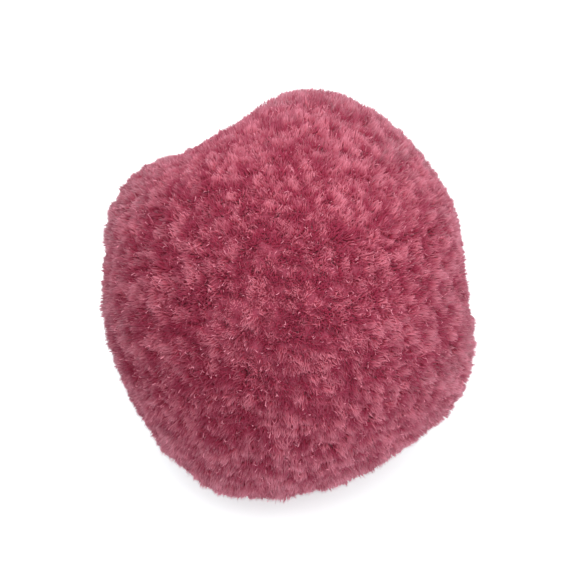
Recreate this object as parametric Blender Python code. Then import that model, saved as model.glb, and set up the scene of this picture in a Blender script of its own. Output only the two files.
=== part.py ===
"""A craft pom pom of cut yarn, lying on a flat surface.

The yarn is tied round its middle and trimmed, so that its locks stand out all
round in a dense and slightly lumpy ball. The tie is deep inside the pile, where
nothing shows of it: the locks' roots are fused there into one round middle.

Frame: metres, +Z up, the origin on the surface, straight under the ball's middle.
The locks underneath are shorter, so that their ends lie level on the surface.
"""

from collections import namedtuple
from math import cos, exp, inf, radians, sin
import random

import bmesh
import bpy
from mathutils import Matrix, Vector

# Half-sizes of the trimmed ball along X, Y and Z, without its lumps.
HALF_WIDTH = 0.01445
HALF_DEPTH = 0.0155
HALF_HEIGHT = 0.0155

# How far the ball has settled on the locks underneath it.
SETTLING = 0.0009

# The middle where the roots are fused, and the slit left between two roots.
MIDDLE_RADIUS = 0.0110
ROOT_SLIT = 0.00036

# How unevenly the locks are placed, as a share of a lock's width, and cut.
PLACING = 0.10
CUTTING = 0.0001
SEED = 5

YARN_COLOUR = (0.337, 0.056, 0.088, 1.0)
YARN_ROUGHNESS = 0.95

# The ball's soft lumps. azimuth turns from +X towards +Y and elevation rises from
# level, in degrees, and so is the spread. rise is a lump's height at its middle as
# a share of the ball's radius there, and is negative for a hollow.
Lump = namedtuple("Lump", "azimuth elevation spread rise")
LUMPS = (
    Lump(azimuth=-22, elevation=-19, spread=19, rise=0.068),
    Lump(azimuth=-118, elevation=-41, spread=22, rise=0.075),
    Lump(azimuth=151, elevation=21, spread=19, rise=0.085),
    Lump(azimuth=124, elevation=41, spread=26, rise=-0.170),
    Lump(azimuth=87, elevation=40, spread=25, rise=0.076),
    Lump(azimuth=2, elevation=7, spread=17, rise=-0.044),
    Lump(azimuth=-75, elevation=52, spread=20, rise=0.015),
    Lump(azimuth=-110, elevation=20, spread=18, rise=-0.018),
    Lump(azimuth=70, elevation=-30, spread=24, rise=0.035),
    Lump(azimuth=105, elevation=-15, spread=18, rise=-0.030),
)

# The sections of one lock above its root. below is measured down from the ball's
# surface, and widening multiplies the width of the section before.
Section = namedtuple("Section", "below widening")
SECTIONS = (
    Section(below=0.0014, widening=1.03),
    Section(below=0.0004, widening=0.84),
    Section(below=0.0, widening=0.56),
)


def towards(azimuth, elevation):
    """The unit vector at these angles, which are in degrees."""
    turned = Matrix.Rotation(radians(azimuth), 3, "Z")
    return turned @ Vector((cos(radians(elevation)), 0, sin(radians(elevation))))


def ball_radius(way):
    """How far the trimmed ball reaches from its middle along the unit vector way."""
    swelling = 1.0
    for lump in LUMPS:
        apart = (way - towards(lump.azimuth, lump.elevation)).length
        swelling += lump.rise * exp(-((apart / radians(lump.spread)) ** 2))
    halves = Vector((way.x / HALF_WIDTH, way.y / HALF_DEPTH, way.z / HALF_HEIGHT))
    return swelling / halves.length


def lock_reach(way, cut, middle_height):
    """From the middle to a lock's end: its own cut, or the surface it lies on."""
    free = ball_radius(way)
    to_surface = middle_height / -way.z if way.z < 0 else inf
    return to_surface if to_surface < free else min(free + cut, to_surface)


def lock_cells():
    """A bmesh ball of four-sided cells, one for each lock, with one straight down."""
    seed_mesh = bpy.data.meshes.new("cells")
    cells = bmesh.new()
    bmesh.ops.create_icosphere(cells, subdivisions=2, radius=1)
    cells.to_mesh(seed_mesh)
    guide = bpy.data.objects.new("cells", seed_mesh)
    bpy.context.collection.objects.link(guide)
    rounding = guide.modifiers.new("rounding", "SUBSURF")
    rounding.levels = rounding.render_levels = 1
    graph = bpy.context.evaluated_depsgraph_get()
    cells.clear()
    cells.from_mesh(guide.evaluated_get(graph).to_mesh())
    bpy.data.objects.remove(guide)
    for corner in cells.verts:
        corner.co.normalize()
    lowest = next(iter(cells.faces)).calc_center_median()
    turn = lowest.rotation_difference(Vector((0, 0, -1))).to_matrix()
    bmesh.ops.rotate(cells, verts=cells.verts, matrix=turn)
    return cells


def make_pile():
    """The pom pom: locks that stand apart down to the middle that holds them."""
    uneven = random.Random(SEED)
    pile = lock_cells()
    width = sum(edge.calc_length() for edge in pile.edges) / len(pile.edges)
    for corner in pile.verts:
        shift = Vector(uneven.uniform(-1, 1) for _ in range(3))
        corner.co = (corner.co + PLACING * width * shift).normalized() * MIDDLE_RADIUS
    cut = pile.faces.layers.float.new("cut")
    ends = list(pile.faces)
    for end in ends:
        end[cut] = uneven.uniform(-CUTTING, CUTTING)
    bmesh.ops.inset_individual(pile, faces=ends, thickness=ROOT_SLIT / 2)
    middle_height = ball_radius(Vector((0, 0, -1))) - SETTLING
    for section in SECTIONS:
        ends = bmesh.ops.extrude_discrete_faces(pile, faces=ends)["faces"]
        for end in ends:
            axis = end.calc_center_median().normalized()
            for corner in end.verts:
                way = axis.lerp(corner.co.normalized(), section.widening).normalized()
                reach = lock_reach(way, end[cut], middle_height)
                corner.co = way * (reach - section.below)
    bmesh.ops.translate(pile, verts=pile.verts, vec=(0, 0, middle_height))
    bmesh.ops.recalc_face_normals(pile, faces=pile.faces)
    mesh = bpy.data.meshes.new("yarn_pile")
    pile.to_mesh(mesh)
    pile.free()
    mesh.shade_smooth()
    mesh.set_sharp_from_angle(angle=radians(35))
    return mesh


def yarn():
    """Dyed yarn with cut ends: a dusty rose with no gloss."""
    material = bpy.data.materials.new("dusty rose yarn")
    material.use_nodes = True
    surface = material.node_tree.nodes["Principled BSDF"]
    surface.inputs["Base Color"].default_value = YARN_COLOUR
    surface.inputs["Roughness"].default_value = YARN_ROUGHNESS
    surface.inputs["Metallic"].default_value = 0.0
    return material


def main():
    for thing in list(bpy.data.objects):
        bpy.data.objects.remove(thing)
    mesh = make_pile()
    mesh.materials.append(yarn())
    bpy.context.collection.objects.link(bpy.data.objects.new("yarn_pile", mesh))


main()
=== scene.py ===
# A craft pom pom of cut yarn pile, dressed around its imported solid.
# Lengths are in metres, powers in watts and angles in degrees.
import bpy
import numpy as np
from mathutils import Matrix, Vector


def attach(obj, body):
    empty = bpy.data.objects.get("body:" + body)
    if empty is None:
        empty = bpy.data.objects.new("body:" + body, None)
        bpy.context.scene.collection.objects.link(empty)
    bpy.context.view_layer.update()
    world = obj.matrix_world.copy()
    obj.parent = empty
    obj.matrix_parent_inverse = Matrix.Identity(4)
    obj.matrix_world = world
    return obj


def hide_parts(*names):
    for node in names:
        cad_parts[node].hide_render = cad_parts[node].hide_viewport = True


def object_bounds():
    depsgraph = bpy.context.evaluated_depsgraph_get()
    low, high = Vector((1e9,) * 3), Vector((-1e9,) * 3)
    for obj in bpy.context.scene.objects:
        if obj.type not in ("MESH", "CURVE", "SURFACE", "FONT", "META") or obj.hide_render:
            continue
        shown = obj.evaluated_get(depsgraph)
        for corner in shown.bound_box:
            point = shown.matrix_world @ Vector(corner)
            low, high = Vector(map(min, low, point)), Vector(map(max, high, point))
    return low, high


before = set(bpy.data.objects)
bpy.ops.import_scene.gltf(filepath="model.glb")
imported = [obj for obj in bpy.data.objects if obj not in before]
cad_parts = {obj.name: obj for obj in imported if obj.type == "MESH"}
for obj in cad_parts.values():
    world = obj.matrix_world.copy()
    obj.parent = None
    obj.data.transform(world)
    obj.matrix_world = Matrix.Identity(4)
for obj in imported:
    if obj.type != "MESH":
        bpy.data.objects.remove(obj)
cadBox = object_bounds()
mm = 0.001
fullTurn = 2 * np.pi  # in radians
goldenAngle = np.pi * (3 - np.sqrt(5))  # between one point of an even spiral and the next
print("frame loaded:", sorted(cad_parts))

# The trimmed ball that the cut ends of the yarn make, with its soft lumps and hollows.
ball = {
    "halfSizes": (14.45 * mm, 15.5 * mm, 15.5 * mm),
    "settling": 0.9 * mm,  # how far it has sunk onto the pile underneath
    # azimuth from +X towards +Y, elevation, spread, rise as a share of the radius
    "lumps": (
        (-22, -19, 19, 0.068),
        (-118, -41, 22, 0.075),
        (151, 21, 19, 0.085),
        (124, 41, 26, -0.170),
        (87, 40, 25, 0.076),
        (2, 7, 17, -0.044),
        (-75, 52, 20, 0.015),
        (-110, 20, 18, -0.018),
        (70, -30, 24, 0.035),
        (105, -15, 18, -0.030),
    ),
}


def unit(vectors):  # each vector divided by its own length
    return vectors / np.linalg.norm(vectors, axis=-1, keepdims=True)


def ballRadius(ways):
    # an ellipsoid's radius, times one plus a bell-shaped rise round each lump's direction
    azimuth, elevation, spread, rise = np.array(ball["lumps"]).T
    azimuth, elevation, spread = np.radians((azimuth, elevation, spread))
    level = np.cos(elevation)
    towards = np.stack((level * np.cos(azimuth), level * np.sin(azimuth), np.sin(elevation)), -1)
    chordSquared = 2 - 2 * ways @ towards.T
    swelling = 1 + (rise * np.exp(-chordSquared / spread**2)).sum(-1)
    return swelling / np.linalg.norm(ways / ball["halfSizes"], axis=-1)


middleHeight = float(ballRadius(np.array([0.0, 0.0, -1.0]))) - ball["settling"]


def floorReach(ways):
    # the middle's height over each way's slope: far off for a way that doesn't point down
    leastSlope = 1e-6
    return middleHeight / np.maximum(-ways[..., 2], leastSlope)


def reach(ways):
    # the ball's radius, or the way to the surface underneath where that is shorter
    return np.minimum(ballRadius(ways), floorReach(ways))


def evenWays(count):
    # a golden-angle spiral from the top of a unit ball to its bottom, at equal steps of height
    step = np.arange(count) + 0.5
    height = 1 - 2 * step / count
    turn = goldenAngle * step
    level = np.sqrt(1 - height**2)
    return np.stack((level * np.cos(turn), level * np.sin(turn), height), -1)


def tangents(ways):
    # each way crossed with Z, or with X where it is steep, and then with that result
    steep = 0.9
    guide = np.where(np.abs(ways[..., 2:]) < steep, (0.0, 0.0, 1.0), (1.0, 0.0, 0.0))
    side = unit(np.cross(guide, ways))
    return side, np.cross(ways, side)


# Soft chance unevenness is made of many sine waves.
unevenness = {
    "waves": 28,
    "lengths": (0.7, 1.5),  # shortest and longest, as shares of the wavelength asked for
}


def waves(points, wavelength, draws):
    # sine waves of about one wavelength, each its own way, added up to a swing of about one
    count = unevenness["waves"]
    pitch = fullTurn / (wavelength * draws.uniform(*unevenness["lengths"], count))
    heading = unit(draws.normal(size=(count, 3))) * pitch[:, None]
    phase = draws.uniform(0, fullTurn, count)
    return np.sin(points @ heading.T + phase).sum(-1) * np.sqrt(2 / count)


# The slow hills and dips of the cut surface, from tufts that crowd or part.
swells = {
    # wavelength, height
    "waves": ((4.5 * mm, 0.07 * mm), (1.2 * mm, 0.10 * mm), (0.8 * mm, 0.05 * mm)),
    "seed": 21,
}


def swelling(points):
    # each wavelength's unevenness times its height, added up
    draws = np.random.default_rng(swells["seed"])
    return sum(height * waves(points, length, draws) for length, height in swells["waves"])


bakeMap = "OFBake"  # the name of a map that the export keeps


def putMesh(name, points, faces, corners, uv):
    # faces is a flat list of corner numbers, corners says how many belong to each face, and
    # uv has one pair for each corner of a face
    mesh = bpy.data.meshes.new(name)
    mesh.vertices.add(len(points))
    mesh.vertices.foreach_set("co", points.astype(np.float32).ravel())
    mesh.loops.add(len(faces))
    mesh.loops.foreach_set("vertex_index", faces.astype(np.int32))
    mesh.polygons.add(len(corners))
    starts = np.concatenate(([0], np.cumsum(corners)[:-1])).astype(np.int32)
    mesh.polygons.foreach_set("loop_start", starts)
    mesh.polygons.foreach_set("use_smooth", np.ones(len(corners), bool))
    layer = mesh.uv_layers.new(name=bakeMap)
    layer.data.foreach_set("uv", uv.astype(np.float32).ravel())
    mesh.update(calc_edges=True)
    mesh.validate()
    piece = bpy.data.objects.new(name, mesh)
    bpy.context.scene.collection.objects.link(piece)
    return piece


def dress(piece, material):
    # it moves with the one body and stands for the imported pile
    piece.data.materials.append(material)
    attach(piece, "root")
    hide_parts("yarn_pile")


def linear(hexColour):  # sRGB hex to linear RGBA
    parts = [int(hexColour[i : i + 2], 16) / 255 for i in (1, 3, 5)]
    return [c / 12.92 if c <= 0.04045 else ((c + 0.055) / 1.055) ** 2.4 for c in parts] + [1.0]


# Sockets that go by number, because their node has several of one name: a Math node's two
# values, and a Mix node's share, its two colours and the colour it gives.
firstValue, secondValue = 0, 1
mixShare, firstColour, secondColour, mixedColour = 0, 6, 7, 2


def addNode(tree, kind, settings=None, links=None):
    # settings name a property of the node or an input, and links give an input its source
    node = tree.nodes.new(kind)
    for name, value in (settings or {}).items():
        if isinstance(name, str) and hasattr(node, name):
            setattr(node, name, value)
        else:
            node.inputs[name].default_value = value
    for name, source in (links or {}).items():
        tree.links.new(source, node.inputs[name])
    return node


def newMaterial(name):
    # with an empty node tree
    material = bpy.data.materials.new(name)
    material.use_nodes = True
    material.node_tree.nodes.clear()
    return material, material.node_tree


# Acrylic yarn, dyed in the fibre, cut and brushed open. The cut tips are pale, and the fibres
# are painted darker and redder towards their roots as painted shade down in the pile, so the
# pile looks soft and matt. Seen from the side the fibres catch a pale pink sheen, which gives
# the ball its velvety rim.
cutYarn = {
    # painted shade: the root colours are darker and redder than the yarn's own, for the shade deep
    # in the pile
    "roots": ("#841630", "#AE324A"),  # darkest and palest fibre, at the root
    "tips": ("#AE4460", "#EE98AC"),  # and at the cut tip
    "tipShare": 2.5,  # the higher, the nearer to the tip the pale part stays
    "roughness": 0.9,
    "specular": 0.1,
    "sheen": 0.42,
    "sheenRoughness": 0.4,
    "sheenTint": "#FFCEDA",
}


def cutYarnMaterial():
    # across its map a fibre has its own tone, and up it the way from root to tip, from painted
    # shade at the root to the yarn's pale colour at the tip
    material, tree = newMaterial("cutAcrylicYarn")
    place = addNode(tree, "ShaderNodeUVMap", {"uv_map": bakeMap})
    parts = addNode(tree, "ShaderNodeSeparateXYZ", links={"Vector": place.outputs["UV"]})
    # painted shade, which fades from the root out to the tip
    tipward = addNode(
        tree,
        "ShaderNodeMath",
        {"operation": "POWER", secondValue: cutYarn["tipShare"]},
        {firstValue: parts.outputs["Y"]},
    )
    shades = [
        addNode(
            tree,
            "ShaderNodeMix",
            {"data_type": "RGBA", firstColour: linear(dark), secondColour: linear(pale)},
            {mixShare: parts.outputs["X"]},
        ).outputs[mixedColour]
        for dark, pale in (cutYarn["roots"], cutYarn["tips"])
    ]
    colour = addNode(
        tree,
        "ShaderNodeMix",
        {"data_type": "RGBA"},
        {mixShare: tipward.outputs[0], firstColour: shades[0], secondColour: shades[1]},
    )
    shader = addNode(
        tree,
        "ShaderNodeBsdfPrincipled",
        {
            "Roughness": cutYarn["roughness"],
            "Specular IOR Level": cutYarn["specular"],
            "Sheen Weight": cutYarn["sheen"],
            "Sheen Roughness": cutYarn["sheenRoughness"],
            "Sheen Tint": linear(cutYarn["sheenTint"]),
        },
        {"Base Color": colour.outputs[mixedColour]},
    )
    addNode(tree, "ShaderNodeOutputMaterial", links={"Surface": shader.outputs["BSDF"]})
    return material


# The packed fibres under the tips: what is seen down between the tufts.
bed = {
    "depth": 0.6 * mm,
    "leastDepth": 0.18 * mm,  # it never comes nearer to the surface than this
    "around": 260,
    "updown": 130,
    "unevenness": 0.05 * mm,
    "unevennessWavelength": 1.0 * mm,
    "seed": 11,
}


def gridWays(around, updown):
    # unit ways where lines of longitude and latitude cross, row by row, and then the two poles
    azimuth = np.arange(around) * fullTurn / around
    polar = np.arange(1, updown) * np.pi / updown
    level = np.sin(polar)[:, None]
    height = np.broadcast_to(np.cos(polar)[:, None], (updown - 1, around))
    rows = np.stack((level * np.cos(azimuth), level * np.sin(azimuth), height), -1)
    return np.vstack((rows.reshape(-1, 3), (0, 0, 1), (0, 0, -1)))


def gridFaces(around, updown):
    # four-sided faces between the lines, with the azimuth across their map and the height up it
    ring, step = np.meshgrid(np.arange(updown - 2), np.arange(around), indexing="ij")
    ring, step = ring.ravel(), step.ravel()
    after = (step + 1) % around
    here, below = ring * around, (ring + 1) * around
    quads = np.stack((here + step, below + step, below + after, here + after), -1)
    u, v = step / around, 1 - (ring + 1) / updown
    uNext, vNext = u + 1 / around, v - 1 / updown
    uv = np.stack((u, v, u, vNext, uNext, vNext, uNext, v), -1)
    return quads, uv.reshape(-1, 2)


def poleFaces(around, updown):
    # a fan of three-sided faces round the top pole and one round the bottom pole
    step = np.arange(around)
    after = (step + 1) % around
    lastRow = (updown - 2) * around
    top = np.full(around, lastRow + around)
    bottom = top + 1
    caps = np.vstack(
        (
            np.stack((top, step, after), -1),
            np.stack((lastRow + after, lastRow + step, bottom), -1),
        )
    )
    u, uNext = step / around, (step + 1) / around
    uMiddle = (u + uNext) / 2
    edge = 1 / updown
    ones = np.ones(around)
    uv = np.vstack(
        (
            np.stack((uMiddle, ones, u, ones - edge, uNext, ones - edge), -1),
            np.stack((uNext, ones * edge, u, ones * edge, uMiddle, ones * 0), -1),
        )
    )
    return caps, uv.reshape(-1, 2)


def makeBed():
    # a ball of longitude and latitude lines, at the pile's reach less the bed's depth
    draws = np.random.default_rng(bed["seed"])
    ways = gridWays(bed["around"], bed["updown"])
    outer = reach(ways)
    surface = ways * outer[:, None]
    radius = outer - bed["depth"] + swelling(surface)
    radius += bed["unevenness"] * waves(surface, bed["unevennessWavelength"], draws)
    radius = np.minimum(radius, outer - bed["leastDepth"])
    points = ways * radius[:, None] + (0, 0, middleHeight)
    quads, quadUv = gridFaces(bed["around"], bed["updown"])
    caps, capUv = poleFaces(bed["around"], bed["updown"])
    faces = np.concatenate((quads.ravel(), caps.ravel()))
    corners = np.concatenate((np.full(len(quads), 4), np.full(len(caps), 3)))
    return putMesh("pileBed", points, faces, corners, np.vstack((quadUv, capUv)))


# The packed acrylic fibre under the tips, coloured dark red as painted shade of the deep pile
# and mottled at random between two painted shades, with no sheen.
bedFibre = {
    "deep": "#74203A",
    "raisedShade": "#B45A6E",
    "grain": 0.16 * mm,  # a bunch of fibres, because one of 0.02 mm is too fine to show
    "grainDetail": 3.0,
    "grainRoughness": 0.6,
    "roughness": 1.0,
    "specular": 0.1,
}


def bedMaterial():
    material, tree = newMaterial("paintedShadeYarnRoots")
    place = addNode(tree, "ShaderNodeTexCoord")
    mottle = addNode(
        tree,
        "ShaderNodeTexNoise",
        {
            "Scale": 1 / bedFibre["grain"],
            "Detail": bedFibre["grainDetail"],
            "Roughness": bedFibre["grainRoughness"],
        },
        {"Vector": place.outputs["Object"]},
    )
    # painted shade: both colours are darker than the yarn's own, for the shade deep in the pile
    deep, raisedShade = linear(bedFibre["deep"]), linear(bedFibre["raisedShade"])
    colour = addNode(
        tree,
        "ShaderNodeMix",
        {"data_type": "RGBA", firstColour: deep, secondColour: raisedShade},
        {mixShare: mottle.outputs["Fac"]},
    )
    shader = addNode(
        tree,
        "ShaderNodeBsdfPrincipled",
        {"Roughness": bedFibre["roughness"], "Specular IOR Level": bedFibre["specular"]},
        {"Base Color": colour.outputs[mixedColour]},
    )
    addNode(tree, "ShaderNodeOutputMaterial", links={"Surface": shader.outputs["BSDF"]})
    return material


# Every strand has three sides. The map of one is a narrow upright strip.
strand = {
    "spread": (0.7, 1.3),  # thinnest and thickest, as shares of the usual thickness
    "mapWidth": 0.006,
    "rootMark": 0.04,  # up the map, where a straight strand leaves the face at its root
    "bendMark": 0.55,  # where a bent strand bends
    "bentRootMark": 0.02,  # how far up the face at a bent strand's root goes
}


def ringAround(along, thickness):
    # three corners round each strand, square to the way it runs
    side, over = tangents(along)
    corner = np.arange(3) * fullTurn / 3
    ring = np.cos(corner)[:, None] * side[:, None] + np.sin(corner)[:, None] * over[:, None]
    return ring * (thickness / 2)[:, None, None]


def strandMesh(name, points, pattern, sizes, uvPattern, tones):
    # the same few faces for every strand: its tone runs across the map, its way to the tip up it
    count, each = points.shape[:2]
    faces = (np.arange(count)[:, None] * each + np.array(pattern)).ravel()
    uv = np.repeat(np.array(uvPattern, float)[None], count, axis=0)
    uv[..., 0] = tones[:, None] + (uv[..., 0] - 0.5) * strand["mapWidth"]
    return putMesh(name, points.reshape(-1, 3), faces, np.tile(sizes, count), uv.reshape(-1, 2))


def cutFibres(name, roots, tips, thickness, tones):
    # a three-sided spike, thick in the crowded bed and down to nothing at its tip
    ring = ringAround(unit(tips - roots), thickness)
    points = np.concatenate((tips[:, None], roots[:, None] + ring), axis=1)
    pattern = (0, 1, 2, 0, 2, 3, 0, 3, 1, 3, 2, 1)
    mark = strand["rootMark"]
    side = [(0.5, 1.0), (0.0, mark), (1.0, mark)]
    uvPattern = side * 3 + [(0.0, mark), (1.0, mark), (0.5, 0.0)]
    return strandMesh(name, points, pattern, (3, 3, 3, 3), uvPattern, tones)


def bentFibres(name, roots, bends, tips, thickness, tones):
    # a three-sided section carried from the root through the bend to a point at the tip
    ring = ringAround(unit(tips - roots), thickness)
    points = np.concatenate((roots[:, None] + ring, bends[:, None] + ring, tips[:, None]), axis=1)
    pattern = (2, 1, 0, 0, 1, 4, 3, 1, 2, 5, 4, 2, 0, 3, 5, 3, 4, 6, 4, 5, 6, 5, 3, 6)
    bend = strand["bendMark"]
    uvPattern = [(0.0, 0.0), (1.0, 0.0), (0.5, strand["bentRootMark"])]
    uvPattern += [(0.0, 0.0), (1.0, 0.0), (1.0, bend), (0.0, bend)] * 3
    uvPattern += [(0.0, bend), (1.0, bend), (0.5, 1.0)] * 3
    return strandMesh(name, points, pattern, (3, 4, 4, 4, 3, 3, 3), uvPattern, tones)


def offTheFloor(points, clearance):
    # no point's height is less than the clearance
    points[:, 2] = np.maximum(points[:, 2], clearance)
    return points


# The pile itself: cut yarn ends that have bloomed into soft tufts of fibres.
pile = {
    "tufts": 4400,
    "fibresInTuft": 48,
    "bands": 5,
    "placing": 0.2,  # how unevenly the tufts stand, as a share of the space between them
    "length": 1.1 * mm,
    "rootRadius": 0.42 * mm,  # of a tuft, down in the bed
    "tipRadius": 0.50 * mm,  # of a tuft, where it blooms
    "raggedness": (0.85, 1.15),  # of a fibre's place between a tuft's middle and its rim
    "doming": 0.08 * mm,  # how much lower a tuft's rim is than its crown
    "lean": 0.08 * mm,
    "leanWavelength": 3.2 * mm,
    "ownLean": 0.12 * mm,  # of a tuft
    "scatter": 0.26 * mm,  # of a fibre
    "tuftHeights": 0.10 * mm,
    "fibreHeights": 0.07 * mm,
    "thickness": 0.28 * mm,  # at the root, where many real fibres crowd together
    "floorClearance": 0.05 * mm,
    "seed": 4,
}

# How the pile's tone goes from its darkest fibre, 0, to its palest, 1.
shading = {
    "tone": 0.36,
    "tuftSpread": 0.10,
    "fibreSpread": 0.05,
    # wavelength, swing
    "waves": ((3.6 * mm, 0.08), (1.8 * mm, 0.14), (1.1 * mm, 0.14), (0.6 * mm, 0.08)),
    # painted shade in the dips of the surface and painted light on its hills
    "dips": 1.6 / mm,  # how much darker a dip is, for its depth
    # wavelength, swing and threshold of the redder groups of tufts, and of the painted glints on
    # the palest ends
    "redGroups": (3.0 * mm, 0.38, 0.4),
    "glints": (0.5 * mm, 0.9, 1.4),
    "limits": (0.02, 0.98),
}


def layTufts(draws):
    # each tuft is a sunflower disc of fibres: narrow at its roots, domed and splayed at its tips
    tufts, fibres = pile["tufts"], pile["fibresInTuft"]
    spacing = np.sqrt(4 * np.pi / tufts)
    shift = draws.normal(scale=pile["placing"] * spacing, size=(tufts, 3))
    ways = unit(evenWays(tufts) + shift)
    surface = ways * reach(ways)[:, None]
    side, over = tangents(ways)
    lean = np.stack([waves(surface, pile["leanWavelength"], draws) for _ in range(2)], -1)
    lean = lean * pile["lean"] + draws.normal(scale=pile["ownLean"], size=(tufts, 2))
    height = draws.normal(scale=pile["tuftHeights"], size=tufts)
    tuftTones = draws.normal(scale=shading["tuftSpread"], size=tufts)

    turn = np.arange(fibres) * goldenAngle + draws.uniform(0, fullTurn, (tufts, 1))
    out = np.sqrt((np.arange(fibres) + 0.5) / fibres)
    out = out * draws.uniform(*pile["raggedness"], (tufts, fibres))
    disc = np.stack((out * np.cos(turn), out * np.sin(turn)), -1)

    def offset(across):  # from distances along side and over to a vector
        return across[..., :1] * side[:, None] + across[..., 1:] * over[:, None]

    roots = surface[:, None] - ways[:, None] * pile["length"] + offset(disc * pile["rootRadius"])
    scatter = draws.normal(scale=pile["scatter"], size=disc.shape)
    tips = surface[:, None] + offset(disc * pile["tipRadius"] + lean[:, None] + scatter)
    tipWays = unit(tips)
    hills = swelling(tips)
    tipReach = ballRadius(tipWays) + hills + height[:, None] - pile["doming"] * out**2
    tipReach += draws.normal(scale=pile["fibreHeights"], size=out.shape)
    tips = tipWays * np.minimum(tipReach, floorReach(tipWays))[..., None]
    lift = np.array((0, 0, middleHeight))
    roots, tips = ((points + lift).reshape(-1, 3) for points in (roots, tips))
    return roots, offTheFloor(tips, pile["floorClearance"]), hills, tuftTones


def shadeFibres(tips, hills, tuftTones, draws):
    # a fibre's tone is its tuft's and its own, with waves over it, less the painted shade of a dip
    # and what a group of redder tufts takes off, and more for a painted glint
    tones = (shading["tone"] + tuftTones)[:, None]
    tones = (tones + draws.normal(scale=shading["fibreSpread"], size=hills.shape)).ravel()
    for wavelength, swing in shading["waves"]:
        tones += swing * waves(tips, wavelength, draws)
    # painted shade: darker where the surface dips, and painted light: paler on its hills
    tones += shading["dips"] * hills.ravel()
    wavelength, swing, threshold = shading["redGroups"]
    tones -= swing * np.maximum(waves(tips, wavelength, draws) - threshold, 0)
    # painted glints: scattered fibre ends made paler, standing in for highlights
    wavelength, swing, threshold = shading["glints"]
    tones += swing * np.maximum(waves(tips, wavelength, draws) - threshold, 0)
    return np.clip(tones, *shading["limits"])


def makePile(material):
    # the fibres of all the tufts, in bands from the top of the ball to its bottom
    draws = np.random.default_rng(pile["seed"])
    roots, tips, hills, tuftTones = layTufts(draws)
    tones = shadeFibres(tips, hills, tuftTones, draws)
    thickness = pile["thickness"] * draws.uniform(*strand["spread"], len(tones))
    edges = np.linspace(0, pile["tufts"], pile["bands"] + 1).astype(int) * pile["fibresInTuft"]
    for band in range(pile["bands"]):
        own = slice(edges[band], edges[band + 1])
        name = f"pileBand{band + 1}"
        piece = cutFibres(name, roots[own], tips[own], thickness[own], tones[own])
        dress(piece, material)
        print("pile band", band + 1, "has", own.stop - own.start, "fibres")


# Loose fibres that stand past the trimmed surface as a faint fuzz.
fuzz = {
    "fibres": 4000,
    "placing": 0.03,  # how unevenly they stand, on a unit ball
    "proud": (0.10 * mm, 0.45 * mm),  # of the tip, past the surface
    "length": 1.4 * mm,  # under the surface
    "sway": 0.35 * mm,
    "bendDepth": 0.2 * mm,
    "bendSway": 0.4,  # as a share of the tip's
    "thickness": 0.035 * mm,
    "tones": (0.4, 0.98),
    "bendClearance": 0.03 * mm,
    "tipClearance": 0.01 * mm,
    "seed": 9,
}


def makeFuzz():
    # strands like the pile's, but longer, thinner and bent, each swaying its own way
    draws = np.random.default_rng(fuzz["seed"])
    count = fuzz["fibres"]
    ways = unit(evenWays(count) + draws.normal(scale=fuzz["placing"], size=(count, 3)))
    side, over = tangents(ways)
    surface = ways * reach(ways)[:, None] + (0, 0, middleHeight)
    sway = draws.normal(scale=fuzz["sway"], size=(count, 4))
    proud = draws.uniform(*fuzz["proud"], size=(count, 1))
    roots = surface - ways * fuzz["length"]
    bends = surface - ways * fuzz["bendDepth"]
    bends += (side * sway[:, :1] + over * sway[:, 1:2]) * fuzz["bendSway"]
    tips = surface + ways * proud + side * sway[:, 2:3] + over * sway[:, 3:]
    bends, tips = offTheFloor(bends, fuzz["bendClearance"]), offTheFloor(tips, fuzz["tipClearance"])
    tones = draws.uniform(*fuzz["tones"], count)
    thickness = fuzz["thickness"] * draws.uniform(*strand["spread"], count)
    return bentFibres("looseFibres", roots, bends, tips, thickness, tones)


# Single fibre ends that have curled over and lie on the pile, painted pale as a highlight where
# they catch the light.
curls = {
    "ends": 2400,
    "lowest": -0.8,  # on a unit ball, so that none lies where the ball rests
    "proud": (-0.12 * mm, 0.08 * mm),  # of the bend, past the surface
    "across": (0.18 * mm, 0.40 * mm),  # from the root to the tip
    "hook": 0.12 * mm,  # how far the bend goes aside
    "rootDepth": 0.25 * mm,
    "tipDepth": 0.08 * mm,
    "thickness": 0.065 * mm,
    "tones": (0.2, 0.8),  # only a place on the map, because their material has one colour
    # painted highlight: paler than the yarn's own colour
    "colour": "#E690A4",
    "roughness": 0.7,
    "specular": 0.3,
    "seed": 31,
}


def makeCurls():
    # short strands that leave the pile, arch just over it and turn back in at the tip
    draws = np.random.default_rng(curls["seed"])
    ways = unit(draws.normal(size=(curls["ends"], 3)))
    ways = ways[ways[:, 2] > curls["lowest"]]
    count = len(ways)
    side, over = tangents(ways)
    turn = draws.uniform(0, fullTurn, (count, 1))
    along = np.cos(turn) * side + np.sin(turn) * over
    aside = np.cos(turn) * over - np.sin(turn) * side
    across = draws.uniform(*curls["across"], size=(count, 1))
    hook = draws.normal(scale=curls["hook"], size=(count, 1))
    surface = ways * reach(ways)[:, None]
    surface += ways * (swelling(surface)[:, None] + draws.uniform(*curls["proud"], size=(count, 1)))
    surface += (0, 0, middleHeight)
    roots = surface - along * across / 2 - ways * curls["rootDepth"]
    bends = surface + aside * hook
    tips = surface + along * across / 2 - ways * curls["tipDepth"]
    thickness = curls["thickness"] * draws.uniform(*strand["spread"], count)
    tones = draws.uniform(*curls["tones"], count)
    return bentFibres("curledEnds", roots, bends, tips, thickness, tones)


def curlMaterial():
    # single fibres that lie flat to the light, painted pale as a highlight: the palest thing on the
    # ball
    material, tree = newMaterial("paintedHighlightEnds")
    shader = addNode(
        tree,
        "ShaderNodeBsdfPrincipled",
        {
            "Base Color": linear(curls["colour"]),
            "Roughness": curls["roughness"],
            "Specular IOR Level": curls["specular"],
        },
    )
    addNode(tree, "ShaderNodeOutputMaterial", links={"Surface": shader.outputs["BSDF"]})
    return material


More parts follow.
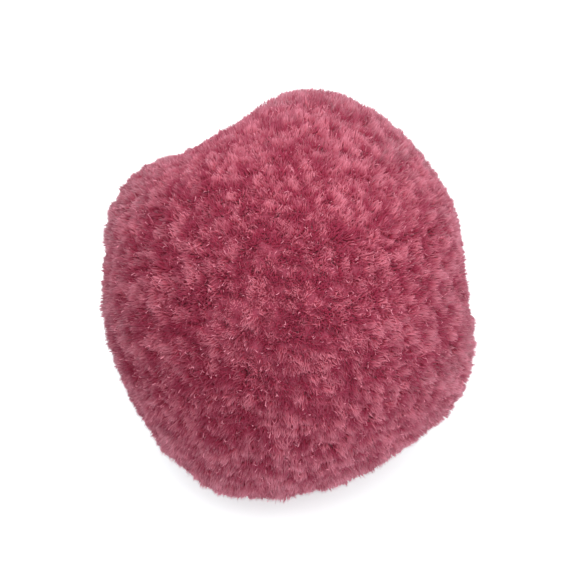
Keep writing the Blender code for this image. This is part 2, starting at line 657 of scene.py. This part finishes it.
# A plain white floor of opal acrylic, lit a little from below as on a product table, soft
# light from above and a camera that looks down at the ball.
studio = {
    "floorColour": "#EFF8F9",  # a cool white, which hardly takes up the pink of the ball
    "floorGlow": 0.50,
    "floorRoughness": 0.9,
    "floorSpecular": 0.1,
    "floorSize": 1.2,
    "skyColour": "#FFFFFF",
    "skyStrength": 0.70,
    # place, size, power, colour
    "lamps": (
        ((0.03, -0.12, 0.36), 0.42, 1.32, "#FFFCFA"),
        ((0.19, -0.33, 0.10), 0.35, 0.32, "#FCFCFF"),
        ((-0.06, 0.36, 0.22), 0.35, 0.40, "#FCFCFF"),
    ),
    "cameraElevation": 45,
    "cameraDistance": 250 * mm,
    "frameWidth": 45 * mm,  # what the picture takes in at the ball's middle
    "sensorWidth": 36,  # in millimetres, as the lens is
    "clip": (0.01, 10),
}


def floorMaterial():
    # a cast sheet with a satin face: an even white that is brightest where nothing shades it
    material, tree = newMaterial("opalAcrylicSheet")
    shader = addNode(
        tree,
        "ShaderNodeBsdfPrincipled",
        {
            "Base Color": linear(studio["floorColour"]),
            "Roughness": studio["floorRoughness"],
            "Specular IOR Level": studio["floorSpecular"],
            "Emission Color": linear(studio["floorColour"]),
            "Emission Strength": studio["floorGlow"],
        },
    )
    addNode(tree, "ShaderNodeOutputMaterial", links={"Surface": shader.outputs["BSDF"]})
    return material


def aim(thing, place, target):
    # the thing's own -Z points from its place to the target
    thing.location = place
    thing.rotation_euler = (target - thing.location).to_track_quat("-Z", "Y").to_euler()
    bpy.context.scene.collection.objects.link(thing)


def makeStudio():
    target = Vector((0, 0, (cadBox[0].z + cadBox[1].z) / 2))
    bpy.ops.mesh.primitive_plane_add(size=studio["floorSize"], location=(0, 0, 0))
    floor = bpy.context.object
    floor.name = "floor"
    floor.data.materials.append(floorMaterial())
    world = bpy.data.worlds.new("softSky")
    bpy.context.scene.world = world
    world.use_nodes = True
    sky = world.node_tree.nodes["Background"]
    sky.inputs["Color"].default_value = linear(studio["skyColour"])
    sky.inputs["Strength"].default_value = studio["skyStrength"]
    for number, (place, size, power, colour) in enumerate(studio["lamps"], 1):
        light = bpy.data.lights.new(f"softbox{number}", "AREA")
        light.shape, light.size, light.energy = "DISK", size, power
        light.color = linear(colour)[:3]
        aim(bpy.data.objects.new(light.name, light), place, target)
    optics = bpy.data.cameras.new("camera")
    optics.sensor_width = studio["sensorWidth"]
    optics.lens = studio["sensorWidth"] * studio["cameraDistance"] / studio["frameWidth"]
    optics.clip_start, optics.clip_end = studio["clip"]
    camera = bpy.data.objects.new("camera", optics)
    elevation = np.radians(studio["cameraElevation"])
    back = Vector((0, -np.cos(elevation), np.sin(elevation)))
    aim(camera, target + back * studio["cameraDistance"], target)
    bpy.context.scene.camera = camera
    bpy.context.scene.view_settings.view_transform = "Standard"


makeStudio()
print("studio ready")
yarn = cutYarnMaterial()
dress(makeBed(), bedMaterial())
print("bed ready")
makePile(yarn)
dress(makeFuzz(), yarn)
dress(makeCurls(), curlMaterial())
print("pile, loose fibres and curled ends ready")
